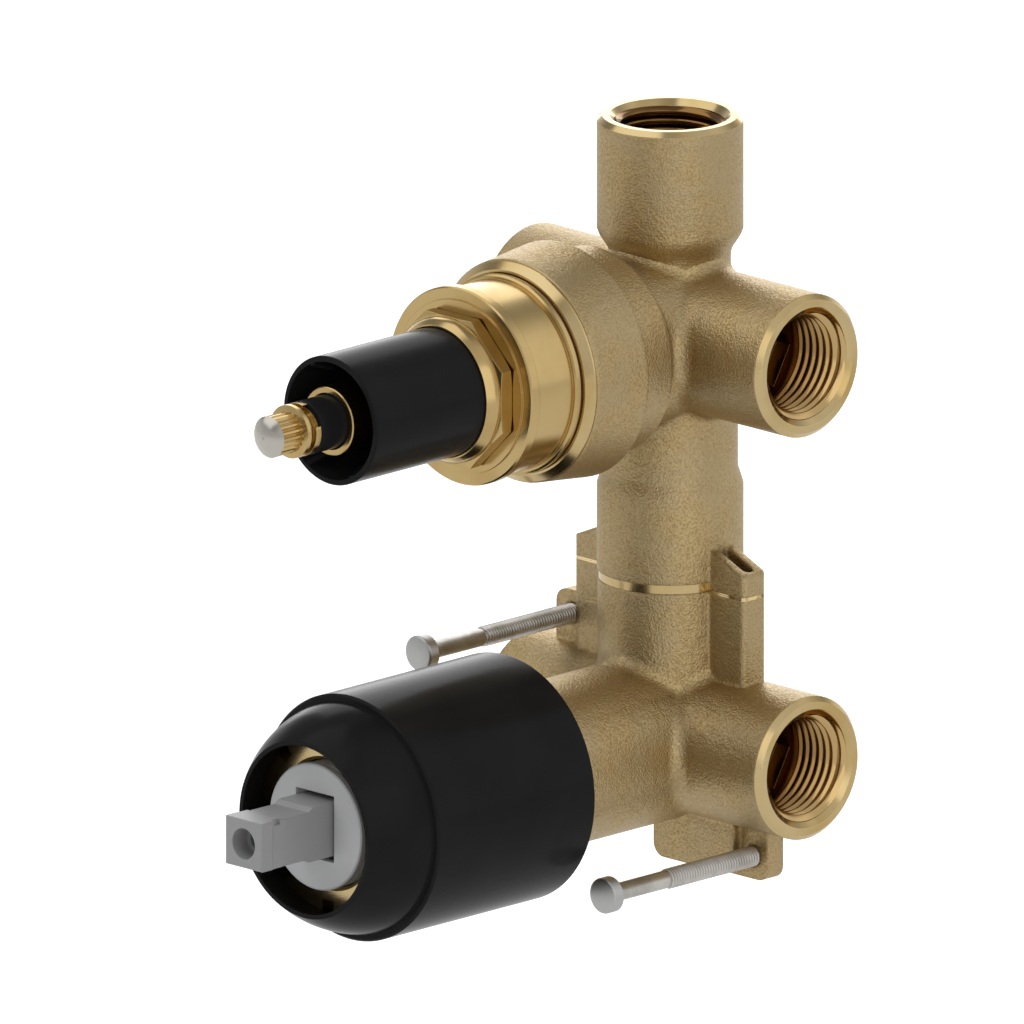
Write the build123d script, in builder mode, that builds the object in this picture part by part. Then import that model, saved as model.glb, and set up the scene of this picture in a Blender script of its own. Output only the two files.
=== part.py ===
from build123d import *
from math import cos, radians, sin
import os

# A concealed shower mixer: a lower casting with the mixing cartridge and two inlets, and an
# upper casting with the diverter and three outlets, joined one above the other.
# The mixing axis and the pipe axis cross at the origin. The front is towards -Y, up is +Z.
# A distance "forward" is measured from the pipe axis towards the front.
# Sizes are in millimetres. Each piece is written to a file of its own.

# Layout
axis_spacing = 80.0      # from the mixing axis up to the diverter axis
joint_height = 31.2      # where the two castings meet
port_reach = 37.7        # from the pipe axis to the face of a side port
top_port_reach = 43.0    # from the diverter axis up to the face of the top port

# Pipes and G 1/2 ports
pipe_r = 14.1            # side ports, top port and the pipe at the joint
riser_r = 13.05          # pipe between the joint and the diverter
lower_pipe_r = 13.95     # pipe between the mixing axis and the joint
waist_r = 11.7           # waist under the top port
thread_r = 10.48
thread_depth = 14.0
mouth_r = 11.7           # countersink at the port's face
port_bevel = 1.0
seat_across = 15.0       # hexagon seat behind the thread
seat_depth = 3.5
water_r = 5.5            # waterway behind the seat
riser_bore_r = 7.5
cast_fillet = 3.0

# Joint of the castings
spigot_r = 10.0
spigot_depth = 7.0
spigot_gap = 0.25
joint_groove_r = 8.8
joint_seal_r = 0.65
joint_seal_drop = 3.6    # seal below the joint
band_height = 1.8        # turned band above the joint
band_cut = 0.25
notch_width = 2.2        # square notch in the band beside the right ear
notch_depth = 0.9
pipe_cone = 3.4          # height of the cone between the joint pipe and the riser
pipe_end_height = 18.6   # where that cone starts, above the joint
ear_reach = 23.0
ear_width = 6.2
ear_corner = 1.2
ear_end_corner = 1.8
ear_end_height = 4.3     # height of the slanted ear at its outer end
ear_root_height = 8.2    # and where it meets the pipe
slot_width = 2.7
slot_reach = 21.75
slot_floor = 2.4         # height of the slot's floor above the joint
joint_screw_x = 20.2
joint_screw_r = 1.2
joint_screw_length = 14.0
screw_gap = 0.05

# Lugs and screws that hold the trim plate
trim_x = 24.4
trim_z = 19.5
lug_reach = 28.6
lug_height = 24.0
lug_front = 2.15
lug_back = 1.95
lug_corner = 2.7
block_reach = 21.0       # the thicker block beside each lug
block_front = 4.0
trim_thread_r = 2.0
trim_shank_r = 1.75
trim_shank_length = 14.0
trim_head_r = 3.5
trim_head_height = 3.0
trim_head_dome = 0.9
trim_upper_reach = 44.6  # forward distance of each head's face
trim_lower_reach = 43.6
trim_tail = 4.5          # how far a screw reaches behind the pipe axis
recess_r = 1.9           # cross recess
recess_width = 1.1
recess_depth = 1.8

# Casting and cup on the mixing side, distances forward
mixer_neck_r = 16.2
neck_end = 46.0
cup_r = 22.6
cup_flare = 5.0
cup_front = 85.0
cup_bore_r = 17.9
cup_floor = 63.8
nut_thread_r = 19.3
nut_thread_rear = 76.0
gap = 0.3

# Black sleeve round the mixing cartridge
sleeve_r = 24.25
sleeve_wall = 1.25
sleeve_rear = 45.0
sleeve_overhang = 2.5    # the sleeve's step in front of the cup
sleeve_step_r = 22.9
sleeve_bulge = 0.75
sleeve_nose = 12.3       # from the step to the sleeve's front
sleeve_mouth_r = 17.5
sleeve_lip = 0.9
sleeve_seal_back = 7.2   # seal behind the cup's front
sleeve_seal_r = 0.75

# Mixing cartridge of 35 mm
cartridge_r = 17.5
base_thick = 4.0
base_hole_r = 3.6
pin_r = 1.95
pin_length = 2.6
pin_x = 10.5
seal_ring_r = 4.7
seal_section_r = 0.78
fixed_disc_r = 15.5
fixed_disc_thick = 4.0
disc_hole_r = 2.8
moving_disc_r = 10.5
moving_disc_thick = 3.5
mixing_pocket_r = 6.9
mixing_pocket_depth = 1.6
carrier_r = 12.4
carrier_thick = 2.7
carrier_rim = 2.3
socket_wall_r = 4.8
socket_depth = 5.0
socket_height = 2.7
rotor_flange_r = 14.6
rotor_flange_rear = 79.6
rotor_flange_thick = 2.5
rotor_hub_r = 10.6
rotor_slot_z = 8.1
housing_bore_r = 15.8
housing_shoulder = 85.8
neck_r = 12.3
neck_bore_r = 10.9
nut_bore_r = 12.6
nut_head_r = 18.3
nut_head_front = 93.3
nut_notch = 3.0
face_forward = 96.8      # front face of the round grey plate
face_r = 12.5
face_thick = 1.5
pivot_depth = 3.8        # lever pin behind the plate's face
pivot_pin_r = 1.25
slot_half_width = 5.15
slot_up = 7.0
slot_down = 6.2
inlet_x = 7.4
inlet_z = -4.6
outlet_z = 9.5
passage_r = 3.8

# Lever
lever_front = 116.25
lever_block = 5.7
lever_cheek = 3.0
lever_block_x = 4.93
lever_block_height = 9.6
lever_rise = 0.42         # middle of the block above the mixing axis
lever_half_width = 4.65
lever_top = 4.95
lever_base_top = 5.75
lever_bottom = 4.95
lever_ramp_front = 103.2
lever_ramp_rear = 102.0
lever_rear = 89.6
lever_arm_r = 2.4
ball_r = 2.7
ball_drop = 14.0         # ball behind the pivot
lever_hole_r = 3.05
lever_hole_depth = 4.0
lever_screw_r = 2.1
lever_screw_depth = 13.0
lever_nick = 1.6         # nick in the top right edge behind the block
lever_nick_front = 112.5

# Casting on the diverter side, distances forward
hub_root_r = 17.0
hub_root_front = 22.0
hub_flare_rear = 15.5
hub_r = 20.4
boss_rear = 28.4
boss_rear_r = 23.2
boss_front_r = 21.9
boss_front = 41.5
rim_r = 21.6
rim_bevel_rear = 42.1
rim_face = 43.5
rim_face_r = 20.2
waist_height = 18.4      # top of the waist above the diverter axis
port_cone = 2.2
bore_thread_r = 17.9
bore_thread_rear = 30.0
chamber_r = 15.6
chamber_floor = 14.5
seat_ring_r = 9.0        # radius on which the three outlets lie
seat_hole_r = 2.9
channel_end = 6.2        # the waterways of the outlets end this far from the axis
feed_width = 12.0
feed_top = 12.9          # feed slot, below the diverter axis
feed_bottom = 15.5

# Turned collar and eight-sided nut of the diverter
collar_thread_r = 17.6
collar_thread_rear = 30.3
bead_r = 19.6
bead_rear = 43.6
bead_front = 45.3
collar_r = 18.7
flange_r = 19.5
flange_rear = 55.1
flange_front = 57.3
flange_step_r = 17.1
flange_step = 0.4
nose_r = 13.0
nose_front = 61.0
collar_bore_r = 15.6
collar_shoulder = 46.2
collar_mouth_r = 10.8
collar_seal_ring_r = 18.95
collar_seal_r = 0.48
collar_groove_half = 0.7
collar_groove_depth = 0.95
nut_across = 29.2
nut_rear = 57.8
nut_flats_front = 60.8
nut_boss_r = 14.3
nut_cone_rear = 61.5
nut_lip_r = 13.2
nut_lip_front = 63.3
nut_lip_bore_r = 12.85
nut_cavity_r = 13.3
nut_cavity_front = 62.1

# Black sleeve, brass housing and spindle of the diverter
tube_r = 12.7
tube_wall = 1.1
tube_rear = 61.05
tube_foot_r = 13.1
tube_foot_front = 62.0
tube_front = 92.7
rib_count = 6
rib_turn = -3.0
rib_rear = 84.0
rib_crest = 88.0
rib_front = 92.3
rib_crest_r = 9.6
rib_front_r = 11.3
rib_width = 1.2
drum_r = 15.3
drum_rear = 14.8
drum_front = 46.1
drum_cavity_r = 12.9
drum_cavity_front = 27.4
drive_cavity_r = 6.1
drive_cavity_front = 31.4
neck_part_r = 10.5
neck_part_front = 61.0
stem_tube_r = 6.75
stem_tube_front = 93.2
stem_bore_r = 4.5
stem_chamfer = 0.3
bush_r = 5.3
bush_rear = 85.0
bush_front = 100.0
seat_seal_r = 12.6
seat_seal_thick = 1.5
diverter_fixed_thick = 4.0
diverter_moving_r = 12.4
diverter_moving_thick = 3.5
drive_length = 19.0
drive_width = 5.0
drive_depth = 1.1
drive_slot_gap = 0.15
drive_plate_front = 27.0
drive_boss_r = 5.6
drive_boss_front = 31.0
drive_square = 5.6
spindle_r = 4.2
running_gap = 0.05
spindle_rear = 24.0
spindle_square_front = 27.5
spindle_seal_1 = 44.0
spindle_seal_2 = 49.0
spindle_seal_r = 0.58
spindle_groove_r = 3.25
spindle_groove_half = 0.75
clip_r = 5.25
clip_rear = 100.2
clip_front = 101.7
clip_groove_r = 3.5
spindle_collar_r = 5.25
spindle_collar_rear = 102.9
spindle_collar_cone = 0.35
spline_rear = 104.2
spline_front = 109.3
spline_r = 4.05
spline_root_r = 3.62
spline_teeth = 20
cap_r = 4.1
cap_height = 1.65
cap_stem_r = 1.5
cap_stem_length = 4.0

# Values worked out from the ones above
mixer_z = 0.0
diverter_z = axis_spacing
top_face_z = axis_spacing + top_port_reach
sleeve_step = cup_front + sleeve_overhang
sleeve_front = sleeve_step + sleeve_nose
sleeve_seal_forward = cup_front - sleeve_seal_back
base_rear = cup_floor + gap
base_front = base_rear + base_thick
fixed_front = base_front + fixed_disc_thick
moving_front = fixed_front + moving_disc_thick
carrier_front = moving_front + carrier_thick
rotor_flange_front = rotor_flange_rear + rotor_flange_thick
rotor_front = face_forward - face_thick
pivot_forward = face_forward - pivot_depth
block_bottom = mixer_z + lever_rise - lever_block_height / 2
ball_forward = pivot_forward - ball_drop
seat_front = chamber_floor + seat_seal_thick
diverter_fixed_front = seat_front + diverter_fixed_thick
diverter_moving_front = diverter_fixed_front + diverter_moving_thick
water_holes = ((-inlet_x, inlet_z), (inlet_x, inlet_z), (0, outlet_z))
outlet_holes = ((-seat_ring_r, 0), (0, seat_ring_r), (seat_ring_r, 0))

os.makedirs("parts", exist_ok=True)


def finish(part, name):
    """Label a finished piece and write it to its own file."""
    part.label = name
    export_step(part, "parts/" + name + ".step")


def across(height, forward=0.0):
    """Plane across a front axis: its x is the object's X, its y is up, its normal the front."""
    return Plane(origin=(0, -forward, height), x_dir=(1, 0, 0), z_dir=(0, -1, 0))


def half_section(height, angle=0.0):
    """Plane through a front axis: its x is the radius, its y the distance forward."""
    c, s = cos(radians(angle)), sin(radians(angle))
    return Plane(origin=(0, 0, height), x_dir=(c, 0, s), z_dir=(s, 0, -c))


def turn(profile, height, mode=Mode.ADD):
    """Turn a closed outline of (radius, forward) about the front axis at a height."""
    with BuildSketch(half_section(height)) as outline:
        with BuildLine():
            Polyline(*profile, close=True)
        make_face()
    revolve(outline.sketch, axis=Axis((0, 0, height), (0, -1, 0)), mode=mode)


def turn_upright(profile, mode=Mode.ADD):
    """Turn a closed outline of (radius, height) about the pipe axis."""
    with BuildSketch(Plane.XZ) as outline:
        with BuildLine():
            Polyline(*profile, close=True)
        make_face()
    revolve(outline.sketch, axis=Axis.Z, mode=mode)


def disc(radius, rear, front, height, mode=Mode.ADD):
    """A plain disc, or a bore, between two forward distances."""
    turn([(0, rear), (radius, rear), (radius, front), (0, front)], height, mode)


def groove(outer, inner, rear, front, height):
    """A square groove cut between two radii and two forward distances."""
    turn([(inner, rear), (outer, rear), (outer, front), (inner, front)], height, Mode.SUBTRACT)


def ring(centre_r, section_r, forward, height):
    """A round seal ring about the front axis at a height."""
    with BuildSketch(half_section(height)) as section:
        with Locations((centre_r, forward)):
            Circle(section_r)
    revolve(section.sketch, axis=Axis((0, 0, height), (0, -1, 0)))


def holes(places, radius, rear, front, height):
    """Round holes along the front axis, at places across it, between two forward distances."""
    with BuildSketch(across(height, rear)) as outline:
        with Locations(*places):
            Circle(radius)
    extrude(outline.sketch, amount=front - rear, mode=Mode.SUBTRACT)


def bore(plane, radius, depth):
    """Bore a round hole along a plane's normal."""
    with BuildSketch(plane) as mouth:
        Circle(radius)
    extrude(mouth.sketch, amount=depth, mode=Mode.SUBTRACT)


def cut_port(inward, depth):
    """Countersink and bore a port, with the hexagon seat and the waterway behind it."""
    bore(inward, thread_r, thread_depth)
    with BuildSketch(inward) as mouth:
        Circle(mouth_r)
    extrude(mouth.sketch, amount=mouth_r - thread_r, taper=45, mode=Mode.SUBTRACT)
    with BuildSketch(inward.offset(thread_depth)) as seat:
        RegularPolygon(radius=seat_across / 2, side_count=6, major_radius=False)
    extrude(seat.sketch, amount=seat_depth, mode=Mode.SUBTRACT)
    bore(inward.offset(thread_depth), water_r, depth - thread_depth)


def side_pipe(height):
    """The pipe of two side ports, with bevelled ends."""
    with BuildSketch(Plane.YZ.offset(-port_reach)) as section:
        with Locations((0, height)):
            Circle(pipe_r)
    extrude(section.sketch, amount=2 * port_reach)


def inward_from(side, height):
    """Plane on the face of a side port, looking into the pipe; side is -1 left, 1 right."""
    return Plane(origin=(side * port_reach, 0, height), x_dir=(0, 1, 0), z_dir=(-side, 0, 0))


def blend_castings(part):
    """Round the inside corners where the cast pipes and hubs run into each other."""
    def is_crossing(edge):
        return edge.geom_type not in (GeomType.CIRCLE, GeomType.LINE)
    fillet(part.edges().filter_by(is_crossing), cast_fillet)


def both_sides(points):
    """The same outline on the left and on the right of the pipe."""
    Polygon(*points, align=None)
    Polygon(*[(-x, z) for x, z in reversed(points)], align=None)


# Lower casting: pipe, two inlets, cartridge cup, joint columns and trim lugs
with BuildPart() as mixer_body:
    with BuildSketch(Plane.XY):
        Circle(lower_pipe_r)
    extrude(amount=joint_height)
    side_pipe(mixer_z)
    turn([(0, -4), (mixer_neck_r - 2.3, -4), (mixer_neck_r, -1.7), (mixer_neck_r, neck_end),
          (0, neck_end)], mixer_z)
    blend_castings(mixer_body)
    chamfer(mixer_body.faces().filter_by(Axis.X).edges(), port_bevel)
    turn([(0, neck_end), (mixer_neck_r, neck_end), (cup_r, neck_end + cup_flare),
          (cup_r, cup_front - 1), (cup_r - 1, cup_front), (0, cup_front)], mixer_z)
    with BuildSketch(Plane.XY):
        RectangleRounded(2 * ear_reach, ear_width, ear_corner)
    extrude(amount=joint_height)
    with BuildSketch(Plane.XZ.offset(-lug_back)) as lugs:
        with BuildLine():
            Polyline((0, 0), (-lug_reach, 0), (-lug_reach, lug_height), (0, lug_height),
                     close=True)
        make_face()
        with BuildLine():
            Polyline((0, 0), (lug_reach, 0), (lug_reach, -lug_height), (0, -lug_height),
                     close=True)
        make_face()
        fillet(lugs.vertices().filter_by(
            lambda v: abs(v.X) > lug_reach - 1 and abs(v.Y) > lug_height - 1), lug_corner)
    extrude(amount=lug_back + lug_front)
    for side in (-1, 1):
        with BuildSketch(Plane.XZ.offset(-lug_back)) as block:
            with BuildLine():
                Polyline((-0.5 * side, 0), (block_reach * side, 0),
                         (block_reach * side, (0.4 - lug_height) * side),
                         (-0.5 * side, (0.4 - lug_height) * side), close=True)
            make_face()
            fillet(block.vertices().filter_by(
                lambda v: abs(v.Y) > lug_height / 2), lug_corner)
        extrude(block.sketch, amount=lug_back + block_front)
    # cup, seal groove and waterways
    disc(cup_bore_r, cup_floor, cup_front, mixer_z, Mode.SUBTRACT)
    disc(nut_thread_r + 0.2, nut_thread_rear - 0.5, cup_front, mixer_z, Mode.SUBTRACT)
    groove(cup_r + 1, cup_r - 1.5, sleeve_seal_forward - 1, sleeve_seal_forward + 1, mixer_z)
    cut_port(inward_from(-1, mixer_z), port_reach - inlet_x + passage_r)
    cut_port(inward_from(1, mixer_z), port_reach - inlet_x + passage_r)
    holes(water_holes, passage_r, 0, cup_floor, mixer_z)
    holes(((-pin_x, outlet_z), (pin_x, outlet_z)), pin_r + screw_gap,
          cup_floor - pin_length - 0.4, cup_floor, mixer_z)
    bore(Plane.XY.offset(8.0), riser_bore_r, joint_height - 8.0)
    bore(Plane.XY.offset(joint_height - spigot_depth - gap), spigot_r + spigot_gap,
         spigot_depth + gap)
    # holes for the joint screws and the trim screws
    with BuildSketch(Plane.XY.offset(joint_height)) as tapped:
        with Locations((-joint_screw_x, 0), (joint_screw_x, 0)):
            Circle(joint_screw_r + screw_gap)
    extrude(tapped.sketch, amount=-joint_screw_length, mode=Mode.SUBTRACT)
    holes(((-trim_x, trim_z), (trim_x, -trim_z)), trim_thread_r + screw_gap,
          -ear_width, block_front, mixer_z)
finish(mixer_body.part, "mixer_body")

# Ears of the upper casting, which stand on the columns of the lower one
with BuildPart() as ears:
    with BuildSketch(Plane.XZ.offset(-ear_width / 2)) as ear_profile:
        both_sides([(0, joint_height), (ear_reach, joint_height),
                    (ear_reach, joint_height + ear_end_height),
                    (pipe_r, joint_height + ear_root_height), (0, joint_height + ear_root_height)])
        fillet(ear_profile.vertices().filter_by(
            lambda v: abs(v.X) > ear_reach - 1 and v.Y > joint_height + 1), ear_end_corner)
    extrude(amount=ear_width)
    with BuildSketch(Plane.XY.offset(joint_height)):
        RectangleRounded(2 * ear_reach, ear_width, ear_corner)
    extrude(amount=ear_root_height, mode=Mode.INTERSECT)

# Upper casting: riser, three outlets, diverter boss and the ears over the joint
with BuildPart() as diverter_body:
    with BuildSketch(Plane.XY.offset(joint_height)):
        Circle(riser_r)
    extrude(amount=axis_spacing - joint_height)
    with BuildSketch(Plane.XY.offset(axis_spacing)):
        Circle(waist_r)
    extrude(amount=waist_height + 5.6)
    side_pipe(diverter_z)
    turn([(0, -4), (hub_root_r - 2.3, -4), (hub_root_r, -1.7), (hub_root_r, hub_root_front),
          (0, hub_root_front)], diverter_z)
    blend_castings(diverter_body)
    chamfer(diverter_body.faces().filter_by(Axis.X).edges(), port_bevel)
    turn([(0, hub_flare_rear - 6), (hub_root_r - 1, hub_flare_rear),
          (hub_r, hub_flare_rear + hub_r - hub_root_r + 1), (hub_r, boss_rear),
          (boss_rear_r - 0.8, boss_rear), (boss_rear_r, boss_rear + 0.8),
          (boss_front_r, boss_front), (rim_r, boss_front), (rim_r, rim_bevel_rear),
          (rim_face_r, rim_face), (0, rim_face)], diverter_z)
    turn_upright([(0, axis_spacing + waist_height), (waist_r, axis_spacing + waist_height),
                  (pipe_r, axis_spacing + waist_height + port_cone),
                  (pipe_r, top_face_z - port_bevel), (pipe_r - port_bevel, top_face_z),
                  (0, top_face_z)])
    turn_upright([(0, joint_height), (pipe_r - band_cut, joint_height),
                  (pipe_r - band_cut, joint_height + band_height),
                  (pipe_r, joint_height + band_height), (pipe_r, joint_height + pipe_end_height),
                  (riser_r, joint_height + pipe_end_height + pipe_cone),
                  (0, joint_height + pipe_end_height + pipe_cone)])
    add(ears.part)
    with BuildSketch(Plane.XY.offset(joint_height)) as notch:
        with Locations((pipe_r, -(ear_width + notch_width) / 2)):
            Rectangle(2 * notch_depth + band_cut, notch_width)
    extrude(notch.sketch, amount=band_height, mode=Mode.SUBTRACT)
    # spigot with its seal groove
    turn_upright([(0, joint_height - spigot_depth), (spigot_r, joint_height - spigot_depth),
                  (spigot_r, joint_height), (0, joint_height)])
    turn_upright([(joint_groove_r, joint_height - joint_seal_drop - 0.8),
                  (spigot_r + 1, joint_height - joint_seal_drop - 0.8),
                  (spigot_r + 1, joint_height - joint_seal_drop + 0.8),
                  (joint_groove_r, joint_height - joint_seal_drop + 0.8)], Mode.SUBTRACT)
    # slots in the ears, and the screw holes through their floors
    for side in (-1, 1):
        slot_end = slot_reach - slot_width / 2
        with BuildSketch(Plane.XY.offset(joint_height + slot_floor)) as slot:
            with Locations((side * (pipe_r + slot_end) / 2, 0)):
                Rectangle(slot_end - pipe_r, slot_width)
            with Locations((side * slot_end, 0)):
                Circle(slot_width / 2)
        extrude(slot.sketch, amount=ear_root_height, mode=Mode.SUBTRACT)
        with BuildSketch(Plane.XY.offset(joint_height)) as screw_hole:
            with Locations((side * joint_screw_x, 0)):
                Circle(joint_screw_r + screw_gap)
        extrude(screw_hole.sketch, amount=slot_floor, mode=Mode.SUBTRACT)
    # thread bore, chamber, waterways and feed
    disc(bore_thread_r, bore_thread_rear, rim_face, diverter_z, Mode.SUBTRACT)
    disc(chamber_r, chamber_floor, bore_thread_rear, diverter_z, Mode.SUBTRACT)
    groove(collar_seal_ring_r + collar_groove_half, collar_seal_ring_r - collar_groove_half,
           rim_face - collar_groove_depth, rim_face + 1, diverter_z)
    cut_port(inward_from(-1, diverter_z), port_reach - channel_end)
    cut_port(inward_from(1, diverter_z), port_reach - channel_end)
    cut_port(Plane(origin=(0, 0, top_face_z), x_dir=(1, 0, 0), z_dir=(0, 0, -1)),
             top_port_reach - channel_end)
    holes(outlet_holes, seat_hole_r, 0, chamber_floor, diverter_z)
    bore(Plane.XY.offset(joint_height - spigot_depth), riser_bore_r,
         axis_spacing - feed_top - joint_height + spigot_depth)
    with BuildSketch(across(diverter_z)) as feed:
        with Locations((0, -(feed_top + feed_bottom) / 2)):
            Rectangle(feed_width, feed_bottom - feed_top)
    extrude(feed.sketch, amount=chamber_floor, mode=Mode.SUBTRACT)
finish(diverter_body.part, "diverter_body")

# Seal of the joint between the castings
with BuildPart() as joint_seal:
    with BuildSketch(Plane.XZ) as section:
        with Locations((joint_groove_r + joint_seal_r + 0.03, joint_height - joint_seal_drop)):
            Circle(joint_seal_r)
    revolve(section.sketch, axis=Axis.Z)
finish(joint_seal.part, "joint_o_ring")

# Screws of the joint
for side, name in ((-1, "joint_screw_left"), (1, "joint_screw_right")):
    with BuildPart() as joint_screw:
        with BuildSketch(Plane.XY.offset(joint_height + slot_floor - 0.2)):
            with Locations((side * joint_screw_x, 0)):
                Circle(joint_screw_r)
        extrude(amount=-joint_screw_length)
        chamfer(joint_screw.edges(), 0.3)
        with BuildSketch(Plane.XY.offset(joint_height + slot_floor - 0.2)) as driver:
            with Locations((side * joint_screw_x, 0)):
                Rectangle(2 * joint_screw_r, 0.5)
        extrude(driver.sketch, amount=-0.8, mode=Mode.SUBTRACT)
    finish(joint_screw.part, name)

# Screws that hold the trim plate
for x, z, reach, name in ((-trim_x, trim_z, trim_upper_reach, "trim_screw_left"),
                          (trim_x, -trim_z, trim_lower_reach, "trim_screw_right")):
    head_rear = reach - trim_head_height
    shank_rear = head_rear - trim_shank_length
    with BuildPart() as trim_screw:
        turn([(0, -trim_tail), (trim_thread_r - 0.5, -trim_tail), (trim_thread_r, 0.5 - trim_tail),
              (trim_thread_r, shank_rear), (trim_shank_r, shank_rear + 0.4),
              (trim_shank_r, head_rear), (trim_head_r, head_rear),
              (trim_head_r, reach - trim_head_dome), (trim_head_r - 0.35, reach - 0.45),
              (trim_head_r - 1.1, reach - 0.1), (trim_head_r - 1.9, reach), (0, reach)], 0)
        with BuildSketch(across(0, reach)) as recess:
            Rectangle(2 * recess_r, recess_width)
            Rectangle(recess_width, 2 * recess_r)
        extrude(recess.sketch, amount=-recess_depth, taper=12, mode=Mode.SUBTRACT)
    finish(trim_screw.part.moved(Location((x, 0, z))), name)

# Black sleeve round the mixing cartridge
sleeve_bore_r = sleeve_r - sleeve_wall
middle_r = (sleeve_step_r + sleeve_mouth_r) / 2
middle = (sleeve_step + sleeve_front) / 2
with BuildPart() as mixer_sleeve:
    with BuildSketch(half_section(mixer_z)) as outline:
        with BuildLine():
            Polyline((sleeve_bore_r, sleeve_rear), (sleeve_r, sleeve_rear),
                     (sleeve_r, sleeve_step - 0.4), (sleeve_r - 0.4, sleeve_step),
                     (sleeve_step_r, sleeve_step))
            ThreePointArc((sleeve_step_r, sleeve_step),
                          (middle_r + sleeve_bulge, middle + sleeve_bulge / 2),
                          (sleeve_mouth_r, sleeve_front))
            Line((sleeve_mouth_r, sleeve_front), (sleeve_mouth_r - sleeve_lip, sleeve_front))
            ThreePointArc((sleeve_mouth_r - sleeve_lip, sleeve_front),
                          (middle_r + sleeve_bulge - sleeve_wall, middle - sleeve_wall / 2),
                          (sleeve_step_r - sleeve_wall, sleeve_step - sleeve_wall))
            Polyline((sleeve_step_r - sleeve_wall, sleeve_step - sleeve_wall),
                     (sleeve_bore_r, sleeve_step - sleeve_wall), (sleeve_bore_r, sleeve_rear))
        make_face()
    revolve(outline.sketch, axis=Axis((0, 0, mixer_z), (0, -1, 0)))
finish(mixer_sleeve.part, "mixer_sleeve")

with BuildPart() as sleeve_seal:
    ring(cup_r - 1.5 + sleeve_seal_r + 0.02, sleeve_seal_r, sleeve_seal_forward, mixer_z)
finish(sleeve_seal.part, "sleeve_o_ring")

# Brass nut that holds the cartridge in the cup
with BuildPart() as cartridge_nut:
    turn([(cartridge_r + gap, nut_thread_rear), (nut_thread_r, nut_thread_rear),
          (nut_thread_r, cup_front - 0.6), (nut_head_r, cup_front + 0.1),
          (nut_head_r, nut_head_front - 0.8), (nut_head_r - 0.8, nut_head_front),
          (nut_bore_r + 0.6, nut_head_front), (nut_bore_r, nut_head_front - 0.6),
          (nut_bore_r, housing_shoulder + 0.1), (cartridge_r + gap, housing_shoulder + 0.1)],
         mixer_z)
    with BuildSketch(across(mixer_z, nut_head_front)) as notches:
        with PolarLocations(nut_head_r, 8):
            Rectangle(2 * nut_notch, nut_notch)
    extrude(notches.sketch, amount=-4.5, mode=Mode.SUBTRACT)
finish(cartridge_nut.part, "cartridge_nut")

# Cartridge: base, seals, housing, discs, carrier, rotor
with BuildPart() as cartridge_base:
    disc(cartridge_r - 0.05, base_rear, base_front, mixer_z)
    for x in (-pin_x, pin_x):
        with BuildSketch(across(mixer_z, base_rear)):
            with Locations((x, outlet_z)):
                Circle(pin_r)
        extrude(amount=-pin_length)
    holes(water_holes, base_hole_r, base_rear, base_front, mixer_z)
    holes(water_holes, seal_ring_r + seal_section_r + 0.05, base_rear, base_rear + 1.35, mixer_z)
finish(cartridge_base.part, "cartridge_base")

for number, (x, z) in enumerate(water_holes, start=1):
    with BuildPart() as base_seal:
        ring(seal_ring_r, seal_section_r, cup_floor + seal_section_r + 0.02, 0)
    finish(base_seal.part.moved(Location((x, 0, mixer_z + z))), "base_seal_" + str(number))

with BuildPart() as cartridge_housing:
    turn([(housing_bore_r, base_front + 0.02), (cartridge_r, base_front + 0.02),
          (cartridge_r, housing_shoulder - 0.5), (cartridge_r - 0.5, housing_shoulder),
          (neck_r, housing_shoulder), (neck_r, rotor_front - 0.8),
          (neck_r - 0.5, rotor_front - gap), (neck_bore_r, rotor_front - gap),
          (neck_bore_r, rotor_flange_front + gap), (housing_bore_r, rotor_flange_front + gap)],
         mixer_z)
finish(cartridge_housing.part, "cartridge_housing")

with BuildPart() as fixed_disc:
    disc(fixed_disc_r, base_front + 0.02, fixed_front, mixer_z)
    holes(water_holes, disc_hole_r, base_front, fixed_front, mixer_z)
    chamfer(fixed_disc.faces().sort_by(Axis.Y)[-1].outer_wire().edges(), 0.4)
finish(fixed_disc.part, "fixed_disc")

with BuildPart() as moving_disc:
    disc(moving_disc_r, fixed_front + 0.02, moving_front, mixer_z)
    holes(((0, 1.0),), mixing_pocket_r, fixed_front, fixed_front + mixing_pocket_depth, mixer_z)
finish(moving_disc.part, "moving_disc")

with BuildPart() as disc_carrier:
    turn([(0, moving_front), (moving_disc_r + 0.2, moving_front),
          (moving_disc_r + 0.2, moving_front - carrier_rim), (carrier_r, moving_front - carrier_rim),
          (carrier_r, carrier_front), (socket_wall_r, carrier_front),
          (socket_wall_r, carrier_front + socket_height), (0, carrier_front + socket_height)],
         mixer_z)
    disc(ball_r + gap, carrier_front + socket_height - socket_depth, carrier_front + socket_height,
         mixer_z, Mode.SUBTRACT)
finish(disc_carrier.part, "disc_carrier")

with BuildPart() as cartridge_rotor:
    turn([(0, rotor_flange_rear), (rotor_flange_r, rotor_flange_rear),
          (rotor_flange_r, rotor_flange_front), (rotor_hub_r, rotor_flange_front),
          (rotor_hub_r, rotor_front), (0, rotor_front)], mixer_z)
    with BuildSketch(across(mixer_z, rotor_flange_rear)) as slot:
        Rectangle(2 * slot_half_width, 2 * rotor_slot_z)
    extrude(slot.sketch, amount=rotor_front - rotor_flange_rear, mode=Mode.SUBTRACT)
    with BuildSketch(Plane.YZ) as pin_hole:
        with Locations((-pivot_forward, mixer_z)):
            Circle(pivot_pin_r + 0.02)
    extrude(pin_hole.sketch, amount=rotor_hub_r, both=True, mode=Mode.SUBTRACT)
finish(cartridge_rotor.part, "cartridge_rotor")

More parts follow.
